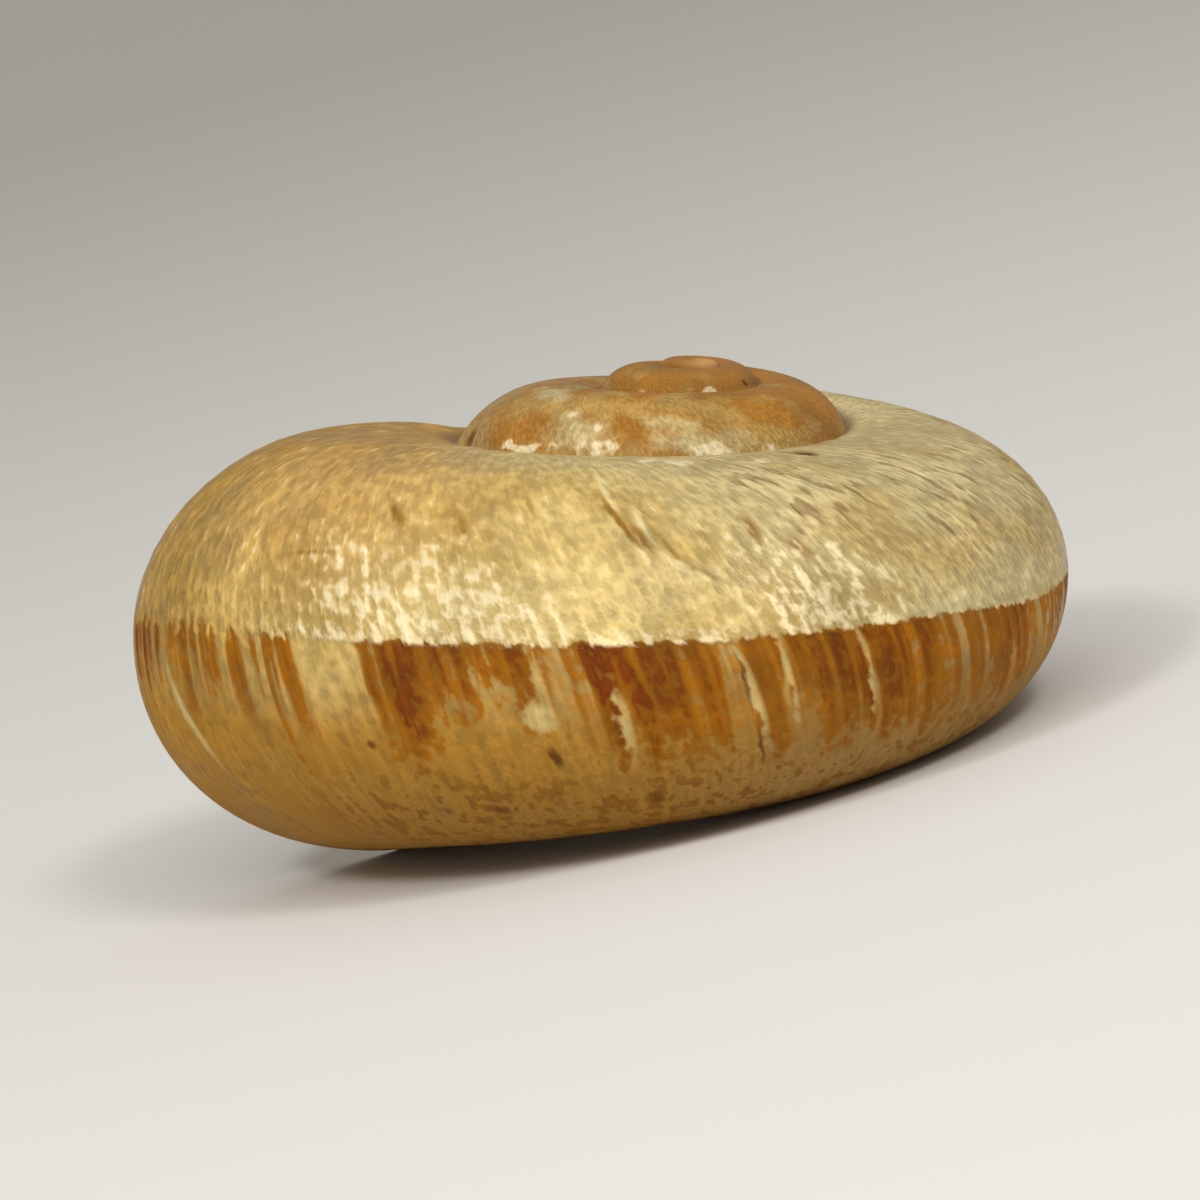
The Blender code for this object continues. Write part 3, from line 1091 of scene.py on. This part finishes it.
# %% [markdown]
# The wrinkles push the marks sideways and fray their edges. The base is mottled with
# brown, less so towards the lip.

# %% Lay the marks
TAN = colour(200, 150, 74)
PALE_SCAR = colour(238, 216, 152)
FLECK_AND_SHADOW_BROWN = colour(162, 118, 46)
SPOT_AND_RECESS_BROWN = colour(108, 62, 14)
CHALK_AND_GLINT_WHITE = colour(238, 222, 178)
MOTTLE_BROWN = colour(118, 74, 12)


def lay_clouds(r, base):
    r.in_mm = r.stretch(r.growth, (TURN_MM, SHARE_MM, 0))
    warm = r.times(patches(r, r.in_mm, WARM), 0.55)
    clouded = patches(r, r.in_mm, CLOUDS, r.scaled(r.crumbs, -1.2, 0.6))
    return r.coats(base, (warm, TAN), (r.times(clouded, 0.8), GREY_CREAM))


def lay_marks(r, base):
    push = r.node("ShaderNodeCombineXYZ", {0: r.scaled(r.wrinkles, 0.30, -0.15)})
    stirred = r.node("ShaderNodeVectorMath", {0: r.in_mm, 1: push}, operation="ADD")
    chalk = patches(r, r.in_mm, CHALK, r.scaled(r.crumbs, -6.0, 3.3))
    return r.coats(
        base,
        (patches(r, stirred, PALE_AND_RIDGE_HIGHLIGHT, r.plus(r.wrinkles, -0.5)), CREAM),
        (patches(r, stirred, SCARS), PALE_SCAR),
        (patches(r, stirred, FLECKS_AND_SCAR_SHADOWS), FLECK_AND_SHADOW_BROWN),
        (patches(r, stirred, SPOTS_AND_RECESS_SHADE), SPOT_AND_RECESS_BROWN),
        (r.times(chalk, 0.8), CHALK_AND_GLINT_WHITE),
    )


def lay_mottles(r, base):
    uneven = r.mixture((r.blotches, 0.3), (r.crumbs, 0.3), (r.wrinkles, 0.4))
    mottles = r.times(
        r.ease(uneven, 0.47, 0.57),
        r.ease(r.share, 0.37, 0.50, 0.0, 0.8),
        r.ease(r.turn, 0.04, -0.03, 0.4, 1.0),
    )
    return r.blend(mottles, base, MOTTLE_BROWN)


print("chalk white, linear:", CHALK_AND_GLINT_WHITE)

# %% [markdown]
# Glints and grooves
#
# Just above the band the skin of the shell is most wrinkled and shines. There painted
# highlights, partly pale bits of skin, are thick in two clusters, and a pale line, partly
# painted highlight, runs along the band's edge. On the right shoulder some growth lines are
# deeper grooves, darkened with painted shade.

# %% Glints and grooves
# painted shade: the brown laid into the shoulder grooves
GROOVE_SHADE_BROWN = colour(124, 84, 34)


def wrinkled_strip(r):
    return r.times(r.ease(r.share, 0.16, 0.31), r.ease(r.share, 0.33, 0.322))


def glints(r, above_band):
    """How much painted highlight, partly pale skin, shows in the clusters and along the band's edge."""
    first = r.times(r.ease(r.turn, 0.01, -0.05), r.ease(r.turn, -0.135, -0.08))
    second = r.times(r.ease(r.turn, -0.165, -0.19), r.ease(r.turn, -0.25, -0.205))
    clusters = r.times(above_band, r.calc("MAXIMUM", first, second))
    uneven = r.mixture((r.threads, 0.2), (r.crumbs, 0.3), (r.wrinkles, 0.5))
    # painted highlights, partly pale skin: pale paint in two clusters above the band
    skin = r.ease(r.plus(uneven, r.scaled(clusters, 0.17, -0.17)), 0.42, 0.58, 0.0, 0.8)
    # a pale line along the band's edge, partly painted highlight
    edge = r.times(
        r.ease(r.share, 0.306, 0.318),
        r.ease(r.share, 0.328, 0.322),
        r.ease(r.turn, 0.01, -0.03),
        r.ease(r.turn, -0.19, -0.15),
        r.ease(r.wrinkles, 0.44, 0.58, 0.0, 0.7),
    )
    return r.calc("MAXIMUM", r.times(skin, r.ease(r.share, 0.327, 0.320), r.last_whorl), edge)


def shoulder_grooves(r):
    return r.times(
        r.ease(r.noise(r.growth, (150, 34, 1)), 0.52, 0.70),
        r.ease(r.turn, -0.13, -0.22, 0.25, 1.0),
        r.ease(r.share, 0.30, 0.22),
        r.ease(r.share, 0.06, 0.14, 0.3, 1.0),
        r.last_whorl,
        r.ease(r.blotches, 0.42, 0.58),
    )


print("groove brown, linear:", GROOVE_SHADE_BROWN)

# %% [markdown]
# Putting the outside together
#
# At last the grain darkens and lightens the colour a little. The shell has little gloss,
# least in the band and on the base, and most just above the band. Relief too low for
# the mesh, 0.1 mm at most, is bump.

# %% Put the outside together
SHINE = 0.16
BUMP_HEIGHT = 0.00011
BUMP_STRENGTH = 0.85


def shade(r):
    fine = r.mixture((r.crumbs, 0.4), (r.wrinkles, 0.6))
    return r.times(
        r.ease(r.threads, 0.3, 0.7, 0.9, 1.07),
        r.ease(r.blotches, 0.3, 0.7, 0.86, 1.08),
        r.ease(fine, 0.39, 0.61, 0.80, 1.11),
    )


def dullness(r, brown, above_band):
    dull = r.calc("MAXIMUM", brown, r.ease(r.share, 0.36, 0.46))
    rough = r.plus(r.ease(r.blotches, 0.3, 0.7, 0.34, 0.54), r.ease(dull, 0.0, 0.5, 0.0, 0.3))
    return r.scaled(above_band, -0.12, rough)


def fine_height(r, above_band, grooves):
    wrinkled = r.plus(r.ease(above_band, 0.0, 1.0, 0.25, 0.9), r.ease(r.last_whorl, 0.0, 1.0, 0.0, 0.35))
    height = r.scaled(r.wrinkles, wrinkled, r.times(r.threads, 0.5))
    return r.scaled(grooves, -0.6, height)


def paint_outside():
    r = Recipe("shell_outside")
    read_growth(r)
    lay_grain(r)
    brown, red = band(r)
    above_band = wrinkled_strip(r)
    grooves = shoulder_grooves(r)

    base = paint_band(r, lay_clouds(r, ground(r)), brown, red)
    base = lay_mottles(r, lay_marks(r, base))
    # the first layer is painted highlight, partly pale skin, above the band; the second is painted shade
    # in the shoulder grooves
    skin, groove_shade = glints(r, above_band), r.times(grooves, 0.5)
    base = r.coats(base, (skin, CHALK_AND_GLINT_WHITE), (groove_shade, GROOVE_SHADE_BROWN))
    r.finish("Base Color", r.blend(1.0, base, shade(r), "MULTIPLY"))
    r.finish("Roughness", dullness(r, brown, above_band))
    r.finish("Specular IOR Level", SHINE)

    height = fine_height(r, above_band, grooves)
    bump = {"Strength": BUMP_STRENGTH, "Distance": BUMP_HEIGHT, "Height": height}
    r.finish("Normal", r.node("ShaderNodeBump", bump))
    return r.material


mesh.materials.append(paint_outside())
print("outside painted:", len(mesh.materials[0].node_tree.nodes), "nodes")

# %% [markdown]
# The lining
#
# Inside, the wall is smooth and glossy, a warm white, and the band shows through it
# as a soft tan shadow. The same map of turn and share tells where.

# %% Paint the lining
LINING = colour(232, 218, 186)
LINING_TAN = colour(196, 150, 92)
LINING_ROUGHNESS = 0.22
LINING_BUMP = 0.00004


def paint_lining():
    r = Recipe("shell_lining")
    read_growth(r)
    through = r.times(
        r.ease(r.share, BAND_TOP - 0.02, BAND_TOP + 0.02),
        r.ease(r.share, 0.46, 0.40),
        r.ease(r.noise(r.growth, (60, 2, 1)), 0.35, 0.65, 0.15, 0.6),
    )
    base = r.blend(through, LINING, LINING_TAN)
    soft = r.noise(r.growth, (90, 3, 1))
    base = r.blend(1.0, base, r.ease(soft, 0.3, 0.7, 0.93, 1.03), "MULTIPLY")
    r.finish("Base Color", base)
    r.finish("Roughness", LINING_ROUGHNESS)
    bump = {"Strength": 0.3, "Distance": LINING_BUMP, "Height": soft}
    r.finish("Normal", r.node("ShaderNodeBump", bump))
    return r.material


mesh.materials.append(paint_lining())
print("lining painted:", len(mesh.materials[1].node_tree.nodes), "nodes")

# %% [markdown]
# Stage
#
# The shell lies on a plain pale table. A flat sheet would end in a horizon line, so
# the table is one wide dish, turned from a row of edges, whose rim curves up out of
# sight on every side.

# %% Turn the floor
FLOOR_FLAT = 0.5
FLOOR_RIM = 0.9  # radius of the rim's bend
RIM_STEPS = 12
FLOOR_SIDES = 64


def make_floor():
    bm = bmesh.new()
    profile = [Vector((0, 0, 0)), Vector((FLOOR_FLAT, 0, 0))]
    for i in range(1, RIM_STEPS + 1):
        bend = math.radians(90 * i / RIM_STEPS)
        out = FLOOR_FLAT + FLOOR_RIM * math.sin(bend)
        profile.append(Vector((out, 0, FLOOR_RIM * (1 - math.cos(bend)))))
    verts = [bm.verts.new(p) for p in profile]
    edges = [bm.edges.new(pair) for pair in zip(verts, verts[1:])]
    turned = {"axis": (0, 0, 1), "angle": math.tau, "steps": FLOOR_SIDES}
    bmesh.ops.spin(bm, geom=verts + edges, use_merge=True, **turned)
    bmesh.ops.remove_doubles(bm, verts=bm.verts, dist=1e-5)
    bmesh.ops.recalc_face_normals(bm, faces=bm.faces)
    floor_mesh = bpy.data.meshes.new("floor")
    bm.to_mesh(floor_mesh)
    bm.free()
    floor_mesh.shade_smooth()
    floor = bpy.data.objects.new("floor", floor_mesh)
    bpy.context.scene.collection.objects.link(floor)
    paint = Recipe("floor_paint")
    paint.finish("Base Color", colour(238, 236, 232))
    paint.finish("Roughness", 0.8)
    floor_mesh.materials.append(paint.material)
    floor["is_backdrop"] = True
    return floor


floor = make_floor()
print("floor:", len(floor.data.polygons), "faces")

# %% [markdown]
# Camera
#
# In the photograph the camera looks at the closed side of the shell from about seven
# degrees above its last whorl, through a long lens. There the coiling axis stands
# almost upright, while on the table the shell leans, so the camera leans with it.

# %% Camera at the photograph's viewing angle
LOOK_DOWN = math.radians(6.64)
ROLL = math.radians(2.13)
CLOSER = 0.995  # fills the frame as in the photograph
CAMERA_DISTANCE = 0.17988 * FIT * CLOSER  # metres to the tip
LENS = 180  # millimetres
SENSOR = 36
PHOTO = 1200  # pixels along each side
APEX_PIXEL = (696.8, 352.3)  # where the tip stands in the frame


def make_camera():
    forward = Vector((0, math.cos(LOOK_DOWN), -math.sin(LOOK_DOWN)))
    level, raised = Vector((1, 0, 0)), Vector((0, math.sin(LOOK_DOWN), math.cos(LOOK_DOWN)))
    right = level * math.cos(ROLL) + raised * math.sin(ROLL)
    up = raised * math.cos(ROLL) - level * math.sin(ROLL)
    focal = LENS / SENSOR * PHOTO
    across, rise = APEX_PIXEL[0] - PHOTO / 2, PHOTO / 2 - APEX_PIXEL[1]
    aim = (forward * focal - right * across - up * rise).normalized()
    side = aim.cross(up).normalized()
    turned = Matrix((side, side.cross(aim), -aim)).transposed().to_4x4()
    data = bpy.data.cameras.new("camera")
    data.lens, data.sensor_width = LENS, SENSOR
    data.clip_start, data.clip_end = 0.005, 10
    camera = bpy.data.objects.new("camera", data)
    back = Matrix.Translation(-forward * CAMERA_DISTANCE)
    camera.matrix_world = Matrix.Translation(SHIFT) @ LEANING @ back @ turned
    bpy.context.scene.collection.objects.link(camera)
    bpy.context.scene.camera = camera
    return camera


camera = make_camera()
print("camera at", [round(v * 1000) for v in camera.matrix_world.translation], "mm")

# %% [markdown]
# Light
#
# Soft studio light: a wide panel above the camera, a weaker one on each side, and a
# pale room around.

# %% Lights
PANELS = [  # name, azimuth and elevation in degrees, size, power
    ("front_panel", 2, 46, (0.40, 0.16), 0.56),
    ("left_panel", -36, 44, (0.09, 0.07), 0.36),
    ("right_panel", 32, 42, (0.09, 0.07), 0.36),
]
PANEL_DISTANCE = 0.40
ROOM_COLOUR = (1, 0.97, 0.92, 1)
ROOM_STRENGTH = 0.38


def make_panel(name, azimuth, elevation, size, power):
    data = bpy.data.lights.new(name, "AREA")
    data.shape, data.size, data.size_y = "RECTANGLE", size[0], size[1]
    data.energy = power
    a, e = math.radians(azimuth), math.radians(elevation)
    toward = Vector((math.sin(a) * math.cos(e), -math.cos(a) * math.cos(e), math.sin(e)))
    panel = bpy.data.objects.new(name, data)
    panel.location = toward * PANEL_DISTANCE
    panel.rotation_euler = toward.to_track_quat("Z", "Y").to_euler()
    bpy.context.scene.collection.objects.link(panel)


for panel in PANELS:
    make_panel(*panel)
world = bpy.data.worlds.new("room")
world.use_nodes = True
background = world.node_tree.nodes["Background"].inputs
background["Color"].default_value = ROOM_COLOUR
background["Strength"].default_value = ROOM_STRENGTH
scene = bpy.context.scene
scene.world = world
scene.view_settings.view_transform = "Standard"

# %% How far the new surface lies inside the imported box
look_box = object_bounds()
for axis, a, b, c, d in zip("xyz", cad_box[0], look_box[0], look_box[1], cad_box[1]):
    print(axis, "inside by", round((b - a) * 1e6), "and", round((d - c) * 1e6), "micrometres")
